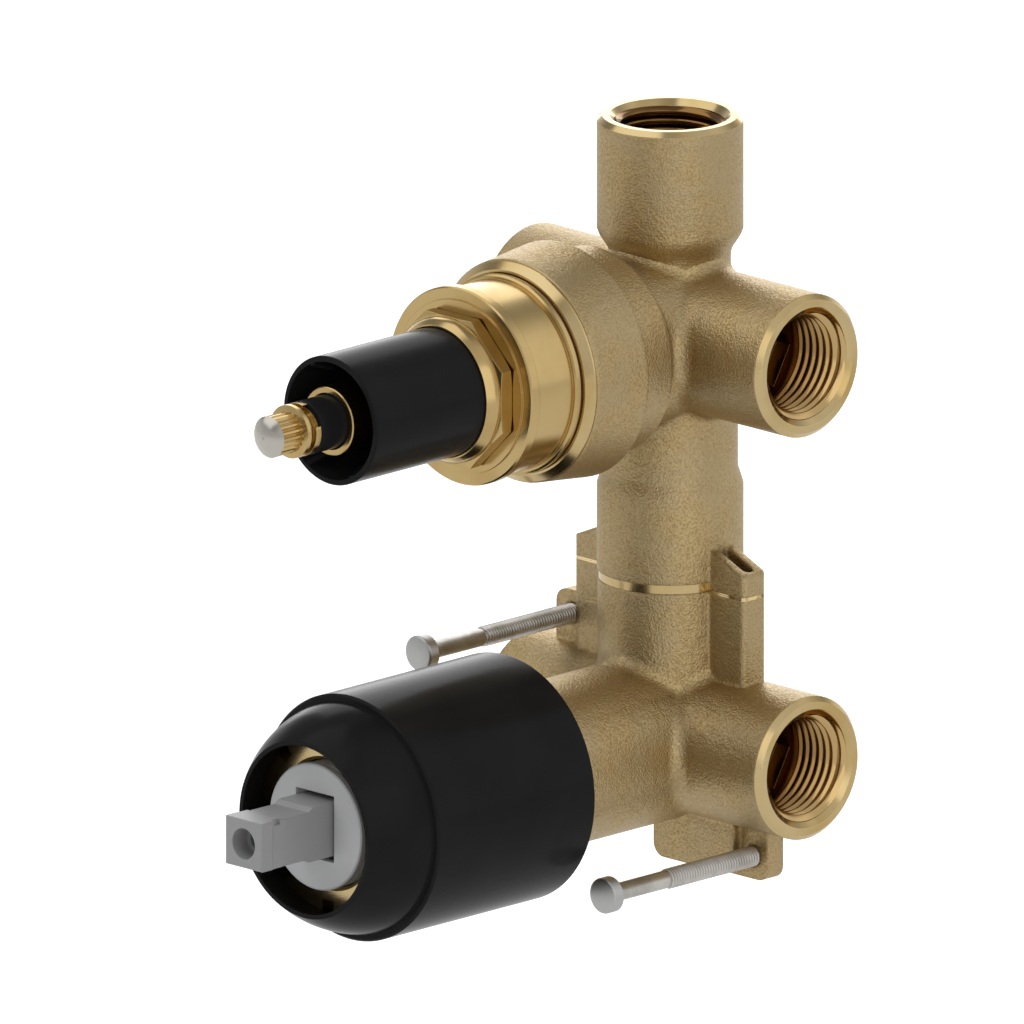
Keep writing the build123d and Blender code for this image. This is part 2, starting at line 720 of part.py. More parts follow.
with BuildPart() as stem_disc:
    turn([(0, rotor_front), (face_r, rotor_front), (face_r, face_forward - 0.3),
          (face_r - 0.3, face_forward), (0, face_forward)], mixer_z)
    with BuildSketch(across(mixer_z, rotor_front)) as slot:
        with Locations((0, (slot_up - slot_down) / 2)):
            Rectangle(2 * slot_half_width, slot_up + slot_down)
    extrude(slot.sketch, amount=face_thick, mode=Mode.SUBTRACT)
finish(stem_disc.part, "stem_disc")

# Lever and its pin
with BuildPart() as mixing_lever:
    with BuildSketch(Plane.YZ) as side_view:
        with BuildLine():
            Polyline((-lever_rear, -lever_bottom + 0.8), (-lever_rear - 1.2, -lever_bottom),
                     (-lever_ramp_front, -lever_bottom),
                     (-lever_ramp_front - 1, block_bottom + 0.05),
                     (lever_block - lever_front - 0.2, block_bottom + 0.05),
                     (lever_block - lever_front - 0.2, lever_top), (-lever_ramp_front, lever_top),
                     (-lever_ramp_rear, lever_base_top), (-lever_rear - 2, lever_base_top),
                     (-lever_rear, lever_base_top - 1.4), close=True)
        make_face()
    extrude(amount=lever_half_width, both=True)
    with BuildSketch(Plane.XY.offset(block_bottom)) as top_view:
        with BuildLine():
            Polyline((-lever_block_x, -lever_front), (lever_block_x, -lever_front),
                     (lever_block_x, lever_cheek - lever_front),
                     (lever_half_width, lever_cheek - lever_front + 0.3),
                     (lever_half_width, lever_block - lever_front),
                     (-lever_half_width, lever_block - lever_front),
                     (-lever_half_width, lever_cheek - lever_front + 0.3),
                     (-lever_block_x, lever_cheek - lever_front), close=True)
        make_face()
    extrude(amount=lever_block_height)
    chamfer(mixing_lever.faces().sort_by(Axis.Y)[0].edges(), 0.15)
    with BuildSketch(across(mixer_z, lever_nick_front)) as nick:
        with Locations((lever_half_width, lever_top)):
            Rectangle(lever_nick, lever_nick)
    extrude(nick.sketch, amount=-lever_nick, mode=Mode.SUBTRACT)
    disc(lever_arm_r, ball_forward, lever_rear + 1, mixer_z)
    with Locations((0, -ball_forward, mixer_z)):
        Sphere(ball_r)
    with BuildSketch(Plane.YZ) as pin_hole:
        with Locations((-pivot_forward, mixer_z)):
            Circle(pivot_pin_r + running_gap)
    extrude(pin_hole.sketch, amount=lever_half_width + 1, both=True, mode=Mode.SUBTRACT)
    disc(lever_hole_r, lever_front - lever_hole_depth, lever_front, mixer_z + lever_rise,
         Mode.SUBTRACT)
    disc(lever_screw_r, lever_front - lever_screw_depth, lever_front, mixer_z + lever_rise,
         Mode.SUBTRACT)
finish(mixing_lever.part, "mixing_lever")

with BuildPart() as pivot_pin:
    with BuildSketch(Plane.YZ):
        with Locations((-pivot_forward, mixer_z)):
            Circle(pivot_pin_r)
    extrude(amount=rotor_hub_r - gap, both=True)
    chamfer(pivot_pin.edges(), 0.2)
finish(pivot_pin.part, "lever_pivot_pin")

# Turned collar, its seal and the eight-sided nut
with BuildPart() as collar:
    turn([(collar_bore_r, collar_thread_rear), (collar_thread_r - 0.6, collar_thread_rear),
          (collar_thread_r, collar_thread_rear + 0.6), (collar_thread_r, bead_rear),
          (bead_r - 0.3, bead_rear), (bead_r, bead_rear + 0.4), (bead_r, bead_front - 0.3),
          (bead_r - 0.4, bead_front), (collar_r, bead_front), (collar_r, flange_rear),
          (flange_r, flange_rear), (flange_r, flange_front - 0.3), (flange_r - 0.3, flange_front),
          (flange_step_r, flange_front), (flange_step_r, flange_front + flange_step),
          (nose_r, flange_front + flange_step), (nose_r, nose_front),
          (collar_mouth_r, nose_front), (collar_mouth_r, collar_shoulder),
          (collar_bore_r, collar_shoulder)], diverter_z)
finish(collar.part, "headwork_collar")

with BuildPart() as collar_seal:
    ring(collar_seal_ring_r, collar_seal_r, rim_face - collar_groove_depth + 0.02 + collar_seal_r,
         diverter_z)
finish(collar_seal.part, "collar_o_ring")

with BuildPart() as gland_nut:
    with BuildSketch(across(diverter_z, nut_rear)) as flats:
        RegularPolygon(radius=nut_across / 2, side_count=8, major_radius=False, rotation=22.5)
    extrude(flats.sketch, amount=nut_flats_front - nut_rear)
    corner_r = nut_across / 2 / cos(radians(22.5))
    turn([(nut_across / 2, nut_rear - 1), (corner_r + 2, nut_rear - 1), (corner_r + 2, nut_rear + 1),
          (nut_across / 2 + 0.2, nut_rear)], diverter_z, Mode.SUBTRACT)
    turn([(nut_across / 2 + 0.2, nut_flats_front), (corner_r + 2, nut_flats_front - 1),
          (corner_r + 2, nut_flats_front + 1), (nut_across / 2, nut_flats_front + 1)],
         diverter_z, Mode.SUBTRACT)
    turn([(0, nut_flats_front - 1), (nut_boss_r, nut_flats_front - 1),
          (nut_boss_r, nut_cone_rear), (nut_lip_r + 0.15, nut_lip_front - 0.25),
          (nut_lip_r, nut_lip_front), (0, nut_lip_front)], diverter_z)
    disc(nut_cavity_r, nut_rear, nut_cavity_front, diverter_z, Mode.SUBTRACT)
    disc(nut_lip_bore_r, nut_rear, nut_lip_front, diverter_z, Mode.SUBTRACT)
finish(gland_nut.part, "gland_nut")

# Black sleeve of the diverter, with its foot under the nut and its inner ribs
with BuildPart() as diverter_sleeve:
    turn([(tube_r - tube_wall, tube_rear), (tube_foot_r, tube_rear), (tube_foot_r, tube_foot_front),
          (tube_r, tube_foot_front), (tube_r, tube_front - 0.25), (tube_r - 0.25, tube_front),
          (tube_r - tube_wall, tube_front)], diverter_z)
    for number in range(rib_count):
        angle = rib_turn + number * 360 / rib_count
        with BuildSketch(half_section(diverter_z, angle)) as rib:
            with BuildLine():
                Polyline((tube_r - tube_wall / 2, rib_rear), (rib_crest_r, rib_crest),
                         (rib_front_r, rib_front), (tube_r - tube_wall / 2, rib_front),
                         close=True)
            make_face()
        extrude(rib.sketch, amount=rib_width / 2, both=True)
finish(diverter_sleeve.part, "diverter_sleeve")

# Brass housing of the diverter and its black bush
with BuildPart() as diverter_housing:
    turn([(0, drum_rear), (drum_r, drum_rear), (drum_r, drum_front), (neck_part_r, drum_front),
          (neck_part_r, neck_part_front), (stem_tube_r, neck_part_front + 1.5),
          (stem_tube_r, stem_tube_front - 0.2), (stem_tube_r - 0.2, stem_tube_front),
          (0, stem_tube_front)], diverter_z)
    disc(drum_cavity_r, drum_rear, drum_cavity_front, diverter_z, Mode.SUBTRACT)
    disc(drive_cavity_r, drum_rear, drive_cavity_front, diverter_z, Mode.SUBTRACT)
    disc(stem_bore_r, drum_rear, stem_tube_front, diverter_z, Mode.SUBTRACT)
    turn([(0, bush_rear), (bush_r + 0.02, bush_rear),
          (bush_r + 0.02, stem_tube_front - stem_chamfer), (bush_r + stem_chamfer, stem_tube_front),
          (0, stem_tube_front)], diverter_z, Mode.SUBTRACT)
    with BuildSketch(across(diverter_z, drum_rear)) as window:
        with Locations((0, -drum_r)):
            Rectangle(feed_width, 2 * (drum_r - drum_cavity_r) + 2)
    extrude(window.sketch, amount=seat_seal_thick + diverter_fixed_thick, mode=Mode.SUBTRACT)
finish(diverter_housing.part, "diverter_housing")

with BuildPart() as stem_bush:
    turn([(spindle_r + running_gap, bush_rear + 0.02), (bush_r, bush_rear + 0.02),
          (bush_r, bush_front - 0.2), (bush_r - 0.2, bush_front),
          (spindle_r + running_gap, bush_front)], diverter_z)
finish(stem_bush.part, "stem_bush")

# Diverter spindle: square tenon, seal grooves, clip groove, collar and splined end
with BuildPart() as spindle:
    with BuildSketch(across(diverter_z, spindle_rear)):
        Rectangle(drive_square, drive_square)
    extrude(amount=spindle_square_front - spindle_rear + 0.2)
    turn([(0, spindle_square_front), (spindle_r, spindle_square_front),
          (spindle_r, spindle_collar_rear), (spindle_collar_r, spindle_collar_rear),
          (spindle_collar_r, spline_rear - spindle_collar_cone),
          (spline_root_r + 0.4, spline_rear), (spline_root_r, spline_rear),
          (spline_root_r, spline_front), (0, spline_front)], diverter_z)
    for forward in (spindle_seal_1, spindle_seal_2):
        groove(spindle_r + 1, spindle_groove_r, forward - spindle_groove_half,
               forward + spindle_groove_half, diverter_z)
    groove(spindle_r + 1, clip_groove_r, clip_rear, clip_front, diverter_z)
    tooth_step = 360 / spline_teeth
    with BuildSketch(across(diverter_z, spline_rear - 0.3)) as teeth:
        for number in range(spline_teeth):
            points = []
            for turned, radius in ((-0.46, spline_root_r - 0.3), (-0.46, spline_root_r),
                                   (-0.16, spline_r), (0.16, spline_r), (0.46, spline_root_r),
                                   (0.46, spline_root_r - 0.3)):
                angle = radians((number + turned) * tooth_step)
                points.append((radius * cos(angle), radius * sin(angle)))
            with BuildLine():
                Polyline(*points, close=True)
            make_face()
    extrude(teeth.sketch, amount=spline_front - spline_rear + 0.3)
    disc(cap_stem_r + 0.02, spline_front - cap_stem_length - 0.2, spline_front, diverter_z,
         Mode.SUBTRACT)
finish(spindle.part, "diverter_spindle")

with BuildPart() as end_cap:
    cap_base = spline_front + 0.02
    dome_r = (cap_r ** 2 + cap_height ** 2) / (2 * cap_height)
    half_way = cap_base + cap_height - dome_r + (dome_r ** 2 - cap_r ** 2 / 4) ** 0.5
    with BuildSketch(half_section(diverter_z)) as outline:
        with BuildLine():
            Polyline((0, cap_base + cap_height), (0, spline_front - cap_stem_length),
                     (cap_stem_r, spline_front - cap_stem_length), (cap_stem_r, cap_base),
                     (cap_r, cap_base))
            ThreePointArc((cap_r, cap_base), (cap_r / 2, half_way), (0, cap_base + cap_height))
        make_face()
    revolve(outline.sketch, axis=Axis((0, 0, diverter_z), (0, -1, 0)))
finish(end_cap.part, "spindle_end_cap")

for number, forward in ((1, spindle_seal_1), (2, spindle_seal_2)):
    with BuildPart() as spindle_seal:
        ring(spindle_groove_r + spindle_seal_r + 0.02, spindle_seal_r, forward, diverter_z)
    finish(spindle_seal.part, "spindle_o_ring_" + str(number))

with BuildPart() as clip:
    turn([(clip_groove_r + 0.02, clip_rear + 0.05), (clip_r, clip_rear + 0.05),
          (clip_r, clip_front - 0.05), (clip_groove_r + 0.02, clip_front - 0.05)], diverter_z)
    with BuildSketch(across(diverter_z, clip_rear)) as opening:
        with BuildLine():
            Polyline((0, 0), (2 * clip_r, 0.55 * clip_r), (2 * clip_r, 2 * clip_r),
                     (0.55 * clip_r, 2 * clip_r), close=True)
        make_face()
    extrude(opening.sketch, amount=clip_front - clip_rear, mode=Mode.SUBTRACT)
finish(clip.part, "spindle_clip")

# Diverter discs, drive and seat seal
with BuildPart() as diverter_drive:
    with BuildSketch(across(diverter_z, diverter_moving_front - drive_depth)):
        Rectangle(drive_length, drive_width)
    extrude(amount=drive_depth + drive_plate_front - diverter_moving_front)
    disc(drive_boss_r, diverter_moving_front + 0.02, drive_boss_front, diverter_z)
    with BuildSketch(across(diverter_z, spindle_rear - 0.2)) as socket:
        Rectangle(drive_square + 0.1, drive_square + 0.1)
    extrude(socket.sketch, amount=spindle_square_front - spindle_rear + 0.2, mode=Mode.SUBTRACT)
    disc(spindle_r + running_gap, spindle_square_front - 0.05, drive_boss_front, diverter_z,
         Mode.SUBTRACT)
finish(diverter_drive.part, "diverter_drive")

with BuildPart() as diverter_moving_disc:
    disc(diverter_moving_r, diverter_fixed_front + 0.02, diverter_moving_front, diverter_z)
    holes(((0, seat_ring_r),), seat_hole_r, diverter_fixed_front, diverter_moving_front, diverter_z)
    with BuildSketch(across(diverter_z, diverter_moving_front)) as slot:
        Rectangle(drive_length + 2 * drive_slot_gap, drive_width + 2 * drive_slot_gap)
    extrude(slot.sketch, amount=-drive_depth - drive_slot_gap, mode=Mode.SUBTRACT)
finish(diverter_moving_disc.part, "diverter_moving_disc")

with BuildPart() as diverter_fixed_disc:
    disc(seat_seal_r, seat_front + 0.02, diverter_fixed_front, diverter_z)
    holes(outlet_holes, seat_hole_r, seat_front, diverter_fixed_front, diverter_z)
finish(diverter_fixed_disc.part, "diverter_fixed_disc")

with BuildPart() as seat_seal:
    disc(seat_seal_r, chamber_floor + 0.02, seat_front, diverter_z)
    holes(outlet_holes, seat_hole_r, chamber_floor, seat_front, diverter_z)
finish(seat_seal.part, "diverter_seat_seal")
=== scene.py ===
"""Looks of the concealed shower mixer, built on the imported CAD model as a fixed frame.

Sizes are in metres in the frame of the CAD: +X right, +Z up, the front towards -Y.
"Forward" is a distance from the pipe axis towards the front, so a forward distance f is Y = -f.
"""
from math import cos, pi, radians, sin

import bpy
from mathutils import Matrix, Vector

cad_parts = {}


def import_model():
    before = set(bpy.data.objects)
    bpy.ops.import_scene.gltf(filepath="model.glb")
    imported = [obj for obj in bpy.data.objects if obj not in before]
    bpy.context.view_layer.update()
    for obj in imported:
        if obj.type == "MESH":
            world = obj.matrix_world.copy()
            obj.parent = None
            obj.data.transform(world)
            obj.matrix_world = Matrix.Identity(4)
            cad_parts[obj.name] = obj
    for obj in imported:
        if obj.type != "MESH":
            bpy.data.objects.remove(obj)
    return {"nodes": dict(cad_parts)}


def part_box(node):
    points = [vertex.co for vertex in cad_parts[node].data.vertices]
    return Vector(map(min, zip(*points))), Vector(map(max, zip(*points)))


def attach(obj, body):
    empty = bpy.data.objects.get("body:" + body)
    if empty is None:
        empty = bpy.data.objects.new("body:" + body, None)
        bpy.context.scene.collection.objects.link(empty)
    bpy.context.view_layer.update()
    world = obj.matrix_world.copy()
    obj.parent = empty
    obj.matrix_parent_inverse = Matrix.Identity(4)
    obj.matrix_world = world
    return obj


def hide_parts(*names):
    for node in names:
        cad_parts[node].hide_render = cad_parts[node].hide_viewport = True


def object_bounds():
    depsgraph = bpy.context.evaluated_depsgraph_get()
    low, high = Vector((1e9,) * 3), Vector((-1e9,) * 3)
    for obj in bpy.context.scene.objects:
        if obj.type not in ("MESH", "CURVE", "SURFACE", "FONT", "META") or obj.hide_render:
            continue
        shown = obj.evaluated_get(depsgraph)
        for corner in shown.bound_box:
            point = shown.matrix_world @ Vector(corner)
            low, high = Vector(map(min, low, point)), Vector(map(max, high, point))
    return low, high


MM = 0.001

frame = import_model()
CAD_BOX = [list(corner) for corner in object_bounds()]

# Places that the CAD frame gives
UPPER_Z = sum(corner.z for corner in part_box("gland_nut")) / 2
PORT_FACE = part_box("mixer_body")[1].x
TOP_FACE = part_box("diverter_body")[1].z
RIM_FACE = -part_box("diverter_body")[0].y
JOINT_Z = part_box("diverter_body")[0].z + 7 * MM
HEAD_HEIGHT = 3 * MM
HEAD_REAR = -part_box("trim_screw_right")[0].y - HEAD_HEIGHT

# Cut surfaces of the castings
PORT_BEVEL = 1 * MM
PORT_WALL_R = 12.65 * MM
PORT_OUTER_R = 14.5 * MM
PORT_BORE_DEPTH = 24 * MM
CUP_REAR = 46.5 * MM
RIM_WIDTH = 2 * MM
BAND_HEIGHT = 1.8 * MM
BAND_R = 14.3 * MM
EAR_START = 14.2 * MM

# G 1/2 thread
THREAD_MAJOR = 10.48 * MM
THREAD_MINOR = 9.32 * MM
THREAD_PITCH = 1.814 * MM
THREAD_LENGTH = 13.2 * MM
THREAD_START = 0.9 * MM

# Trim screws
SCREW_OUTER = 2.0 * MM
SCREW_CORE = 1.62 * MM
SCREW_PITCH = 0.7 * MM
SCREW_PLAIN = 14 * MM
SCREW_SHANK_R = 1.75 * MM
SCREW_HEAD_R = 3.5 * MM

# Camera of the photograph: orthographic, turned round the object and raised
CAMERA_AZIMUTH = 44.75
CAMERA_ELEVATION = 15.33
CAMERA_WIDTH = 196.49 * MM
CAMERA_RIGHT = -30.34 * MM
CAMERA_UP = 42.27 * MM
CAMERA_DISTANCE = 1.2


# Small helpers for shader nodes
def socket(node, name):
    """An input of a node by its name."""
    return node.inputs[name]


class Shader:
    """A node tree with short calls to add and join nodes."""

    def __init__(self, tree):
        self.tree = tree

    def add(self, kind, **settings):
        node = self.tree.nodes.new(kind)
        for key, value in settings.items():
            setattr(node, key, value)
        return node

    def join(self, source, target):
        self.tree.links.new(source, target)

    def put(self, target, value):
        """Set a socket to a number or colour, or link it to another socket."""
        if hasattr(value, "is_output"):
            self.join(value, target)
        else:
            target.default_value = value

    def math(self, operation, a, b=0.0, c=0.0, clamp=False):
        node = self.add("ShaderNodeMath", operation=operation, use_clamp=clamp)
        for target, value in zip(node.inputs, (a, b, c)):
            self.put(target, value)
        return node.outputs[0]

    def step(self, value, low, high, start=0.0, end=1.0):
        """A smooth change from start to end while value goes from low to high."""
        node = self.add("ShaderNodeMapRange", interpolation_type="SMOOTHSTEP")
        for name, given in zip(("Value", "From Min", "From Max", "To Min", "To Max"),
                               (value, low, high, start, end)):
            self.put(node.inputs[name], given)
        return node.outputs[0]

    def mix(self, factor, a, b):
        """Colour a where factor is 0 and colour b where it is 1."""
        node = self.add("ShaderNodeMix", data_type="RGBA")
        self.put(node.inputs[0], factor)
        self.put(node.inputs[6], a)
        self.put(node.inputs[7], b)
        return node.outputs[2]

    def blend(self, factor, a, b):
        """Number a where factor is 0 and number b where it is 1."""
        node = self.add("ShaderNodeMix", data_type="FLOAT")
        self.put(node.inputs[0], factor)
        self.put(node.inputs[2], a)
        self.put(node.inputs[3], b)
        return node.outputs[0]

    def noise(self, vector, scale, detail=2.0, roughness=0.5):
        node = self.add("ShaderNodeTexNoise")
        self.put(node.inputs["Vector"], vector)
        self.put(node.inputs["Scale"], scale)
        self.put(node.inputs["Detail"], detail)
        self.put(node.inputs["Roughness"], roughness)
        return node.outputs["Fac"]

    def bump(self, height, distance, normal=None, strength=1.0):
        node = self.add("ShaderNodeBump")
        self.put(node.inputs["Strength"], strength)
        self.put(node.inputs["Distance"], distance)
        self.put(node.inputs["Height"], height)
        if normal is not None:
            self.put(node.inputs["Normal"], normal)
        return node.outputs["Normal"]


def colour(r, g, b):
    return (r, g, b, 1.0)


def group(name, inputs, outputs):
    """A node group with named inputs (name, kind, default) and outputs (name, kind)."""
    tree = bpy.data.node_groups.new(name, "ShaderNodeTree")
    for label, kind, default in inputs:
        item = tree.interface.new_socket(label, in_out="INPUT", socket_type=kind)
        if default is not None:
            item.default_value = default
    for label, kind in outputs:
        tree.interface.new_socket(label, in_out="OUTPUT", socket_type=kind)
    shader = Shader(tree)
    return shader, shader.add("NodeGroupInput").outputs, shader.add("NodeGroupOutput").inputs


def use(shader, tree, **values):
    """A copy of a node group in a tree, with its inputs set by name."""
    node = shader.add("ShaderNodeGroup", node_tree=tree)
    for name, value in values.items():
        shader.put(node.inputs[name.replace("_", " ")], value)
    return node.outputs


FLOAT = "NodeSocketFloat"
VECTOR = "NodeSocketVector"


def make_cast_grain():
    """Sand-cast skin: a fine crinkle over shallow unevenness, as a height and two masks."""
    s, given, out = group("cast_grain", [("Position", VECTOR, None), ("Grain Size", FLOAT, 0.0006)],
                          [("Height", FLOAT), ("Pit", FLOAT), ("Patch", FLOAT)])
    per_metre = s.math("DIVIDE", 1.0, given["Grain Size"])
    bend = s.add("ShaderNodeTexNoise")
    s.put(bend.inputs["Vector"], given["Position"])
    s.put(bend.inputs["Scale"], s.math("MULTIPLY", per_metre, 0.5))
    shift = s.add("ShaderNodeVectorMath", operation="SCALE")
    s.join(bend.outputs["Color"], shift.inputs[0])
    s.put(shift.inputs["Scale"], s.math("MULTIPLY", given["Grain Size"], 1.1))
    moved = s.add("ShaderNodeVectorMath", operation="ADD")
    s.join(given["Position"], moved.inputs[0])
    s.join(shift.outputs[0], moved.inputs[1])
    crinkle = s.noise(moved.outputs[0], per_metre, 1.6, 0.45)
    broad = s.noise(given["Position"], s.math("MULTIPLY", per_metre, 0.16), 2.0, 0.5)
    patch = s.noise(given["Position"], s.math("MULTIPLY", per_metre, 0.045), 2.0, 0.5)
    height = s.math("ADD", crinkle, s.math("MULTIPLY", broad, 1.1))
    s.join(height, out["Height"])
    s.join(s.step(crinkle, 0.34, 0.60, 1.0, 0.0), out["Pit"])
    s.join(patch, out["Patch"])
    return s.tree


def make_radius():
    """Distance from an axis along X, Y or Z, given as the two other coordinates of its centre."""
    s, given, out = group("radius_from", [("A", FLOAT, 0.0), ("B", FLOAT, 0.0)], [("Radius", FLOAT)])
    squares = s.math("ADD", s.math("MULTIPLY", given["A"], given["A"]),
                     s.math("MULTIPLY", given["B"], given["B"]))
    s.join(s.math("SQRT", squares), out["Radius"])
    return s.tree


def make_turning_marks():
    """Fine rings that a lathe leaves, from a coordinate along the work and one across it."""
    s, given, out = group("turning_marks", [("Along", FLOAT, 0.0), ("Spacing", FLOAT, 0.00025),
                                            ("Position", VECTOR, None)],
                          [("Height", FLOAT), ("Streak", FLOAT)])
    lines = s.math("DIVIDE", given["Along"], given["Spacing"])
    place = s.add("ShaderNodeCombineXYZ")
    s.join(lines, place.inputs[0])
    rings = s.noise(place.outputs[0], 1.0, 2.0, 0.6)
    smudge = s.noise(given["Position"], 90.0, 3.0, 0.5)
    s.join(rings, out["Height"])
    s.join(smudge, out["Streak"])
    return s.tree


# Colours of the brass
CAST_BASE = colour(0.49, 0.366, 0.182)
CAST_PIT = colour(0.40, 0.288, 0.136)
CAST_GREY = colour(0.45, 0.350, 0.200)
CUT_BRASS = colour(0.60, 0.460, 0.235)
CUT_BRASS_WARM = colour(0.53, 0.375, 0.150)
# Painted shade: a dark brown that darkens the bores and threads further in, and the dark dashes of
# the joint line.
PAINTED_SHADE_BRASS = colour(0.25, 0.135, 0.045)
COLLAR_BRASS = colour(0.56, 0.405, 0.180)
COLLAR_BRASS_WARM = colour(0.46, 0.315, 0.120)
# Painted highlight: the bright line along the joint of the ears.
JOINT_HIGHLIGHT_BRASS = colour(0.86, 0.68, 0.36)
THREAD_BRASS = colour(0.62, 0.43, 0.19)

# Depths of the skins and roundings of the edges
CAST_GRAIN = 0.43 * MM
SAND_DEPTH = 0.17 * MM
CUT_MARKS_DEPTH = 0.004 * MM
LATHE_MARKS_DEPTH = 0.006 * MM
CAST_EDGE = 1.1 * MM
CUT_EDGE = 0.15 * MM

GRAIN = make_cast_grain()
RADIUS = make_radius()
MARKS = make_turning_marks()


def new_material(name):
    material = bpy.data.materials.new(name)
    material.use_nodes = True
    s = Shader(material.node_tree)
    principled = next(n for n in s.tree.nodes if n.type == "BSDF_PRINCIPLED")
    place = s.add("ShaderNodeTexCoord").outputs["Object"]
    return material, s, principled, place


def split(s, vector):
    node = s.add("ShaderNodeSeparateXYZ")
    s.join(vector, node.inputs[0])
    return node.outputs


def rounded(s, radius):
    """A normal that rounds the edges of the solid a little."""
    node = s.add("ShaderNodeBevel", samples=6)
    s.put(node.inputs["Radius"], radius)
    return node.outputs["Normal"]


def inside_port(s, along, across, height, face):
    """Masks of a port's cut surfaces, its face, bevel, countersink and bore, and a mask of painted
    shade that darkens the bore further in.
    """
    radius = use(s, RADIUS, A=across, B=height)["Radius"]
    bevel = s.step(along, face - PORT_BEVEL - 0.05 * MM, face - PORT_BEVEL + 0.05 * MM)
    bore = s.math("MULTIPLY",
                  s.step(along, face - PORT_BORE_DEPTH, face - PORT_BORE_DEPTH + 0.4 * MM),
                  s.step(radius, PORT_WALL_R - 0.05 * MM, PORT_WALL_R + 0.05 * MM, 1.0, 0.0))
    near = s.step(radius, PORT_OUTER_R - 0.1 * MM, PORT_OUTER_R + 0.1 * MM, 1.0, 0.0)
    cut = s.math("MULTIPLY", s.math("MAXIMUM", bevel, bore), near)
    # Painted shade: the bore darkens from 2 mm to 15 mm inside the face.
    depth = s.math("MULTIPLY", bore, s.step(along, face - 15 * MM, face - 2 * MM, 1.0, 0.0))
    return cut, depth


def joint_line(s, xyz):
    """A thin line painted bright as a highlight where the ears stand on the columns, outside the
    pipe.
    """
    level = s.math("ABSOLUTE", s.math("SUBTRACT", xyz[2], JOINT_Z))
    outside = s.step(s.math("ABSOLUTE", xyz[0]), EAR_START, EAR_START + 0.4 * MM)
    return s.math("MULTIPLY", s.step(level, 0.28 * MM, 0.38 * MM, 1.0, 0.0), outside)


def casting_material(name, axis_z, top_port, extra):
    """Cast brass with cut faces: extra adds the mask of the cut places that differ."""
    material, s, principled, place = new_material(name)
    xyz = split(s, place)
    lifted = s.math("SUBTRACT", xyz[2], axis_z)
    cut, depth = inside_port(s, s.math("ABSOLUTE", xyz[0]), xyz[1], lifted, PORT_FACE)
    if top_port:
        top_cut, top_painted_shade = inside_port(s, xyz[2], xyz[0], xyz[1], TOP_FACE)
        cut = s.math("MAXIMUM", cut, top_cut)
        depth = s.math("MAXIMUM", depth, top_painted_shade)
    cut = s.math("MAXIMUM", cut, extra(s, xyz))
    joint = joint_line(s, xyz)
    cut = s.math("MAXIMUM", cut, joint)
    grain = use(s, GRAIN, Position=place, Grain_Size=CAST_GRAIN)
    skin = s.mix(grain["Pit"], CAST_BASE, CAST_PIT)
    skin = s.mix(s.step(grain["Patch"], 0.35, 0.65, 0.0, 0.6), skin, CAST_GREY)
    marks = use(s, MARKS, Along=s.math("ADD", xyz[1], xyz[0]), Position=place)
    cut_skin = s.mix(s.step(marks["Streak"], 0.4, 0.7), CUT_BRASS, CUT_BRASS_WARM)
    # Painted shade darkens the cut bores further in.
    cut_skin = s.mix(depth, cut_skin, PAINTED_SHADE_BRASS)
    # The joint line: a painted highlight broken by dashes of painted shade.
    dashes = s.step(s.noise(place, 420.0, 1.0), 0.40, 0.56)
    cut_skin = s.mix(joint, cut_skin, s.mix(dashes, PAINTED_SHADE_BRASS, JOINT_HIGHLIGHT_BRASS))
    s.join(s.mix(cut, skin, cut_skin), socket(principled, "Base Color"))
    socket(principled, "Metallic").default_value = 1.0
    rough = s.blend(grain["Pit"], 0.40, 0.52)
    s.join(s.blend(cut, rough, 0.18), socket(principled, "Roughness"))
    soft = rounded(s, s.blend(cut, CAST_EDGE, CUT_EDGE))
    sand = s.bump(grain["Height"], SAND_DEPTH, soft, s.math("SUBTRACT", 1.0, cut))
    turned = s.bump(marks["Height"], CUT_MARKS_DEPTH, sand, cut)
    s.join(turned, socket(principled, "Normal"))
    return material


def lower_cuts(s, xyz):
    """The cup for the cartridge is turned."""
    forward = s.math("MULTIPLY", xyz[1], -1.0)
    return s.step(forward, CUP_REAR, CUP_REAR + 1 * MM)


def upper_cuts(s, xyz):
    """The boss's rim and the band above the joint are turned."""
    forward = s.math("MULTIPLY", xyz[1], -1.0)
    rim = s.step(forward, RIM_FACE - RIM_WIDTH - 0.1 * MM, RIM_FACE - RIM_WIDTH + 0.1 * MM)
    radius = use(s, RADIUS, A=xyz[0], B=xyz[1])["Radius"]
    top = JOINT_Z + BAND_HEIGHT
    band = s.math("MULTIPLY", s.step(xyz[2], top - 0.1 * MM, top + 0.05 * MM, 1.0, 0.0),
                  s.step(radius, BAND_R - 0.1 * MM, BAND_R + 0.1 * MM, 1.0, 0.0))
    return s.math("MAXIMUM", rim, band)


def turned_brass(name, base, warm, roughness=0.16, axis_z=None):
    """Brass off the lathe: ring marks along the work and a faint warm tarnish."""
    material, s, principled, place = new_material(name)
    xyz = split(s, place)
    along = xyz[1]
    if axis_z is not None:
        lifted = s.math("SUBTRACT", xyz[2], axis_z)
        along = s.math("ADD", xyz[1], use(s, RADIUS, A=xyz[0], B=lifted)["Radius"])
    marks = use(s, MARKS, Along=along, Position=place)
    s.join(s.mix(s.step(marks["Streak"], 0.42, 0.75, 0.0, 0.7), base, warm),
           socket(principled, "Base Color"))
    socket(principled, "Metallic").default_value = 1.0
    s.join(s.blend(marks["Streak"], roughness, roughness + 0.08), socket(principled, "Roughness"))
    s.join(s.bump(marks["Height"], LATHE_MARKS_DEPTH, rounded(s, CUT_EDGE)),
           socket(principled, "Normal"))
    return material


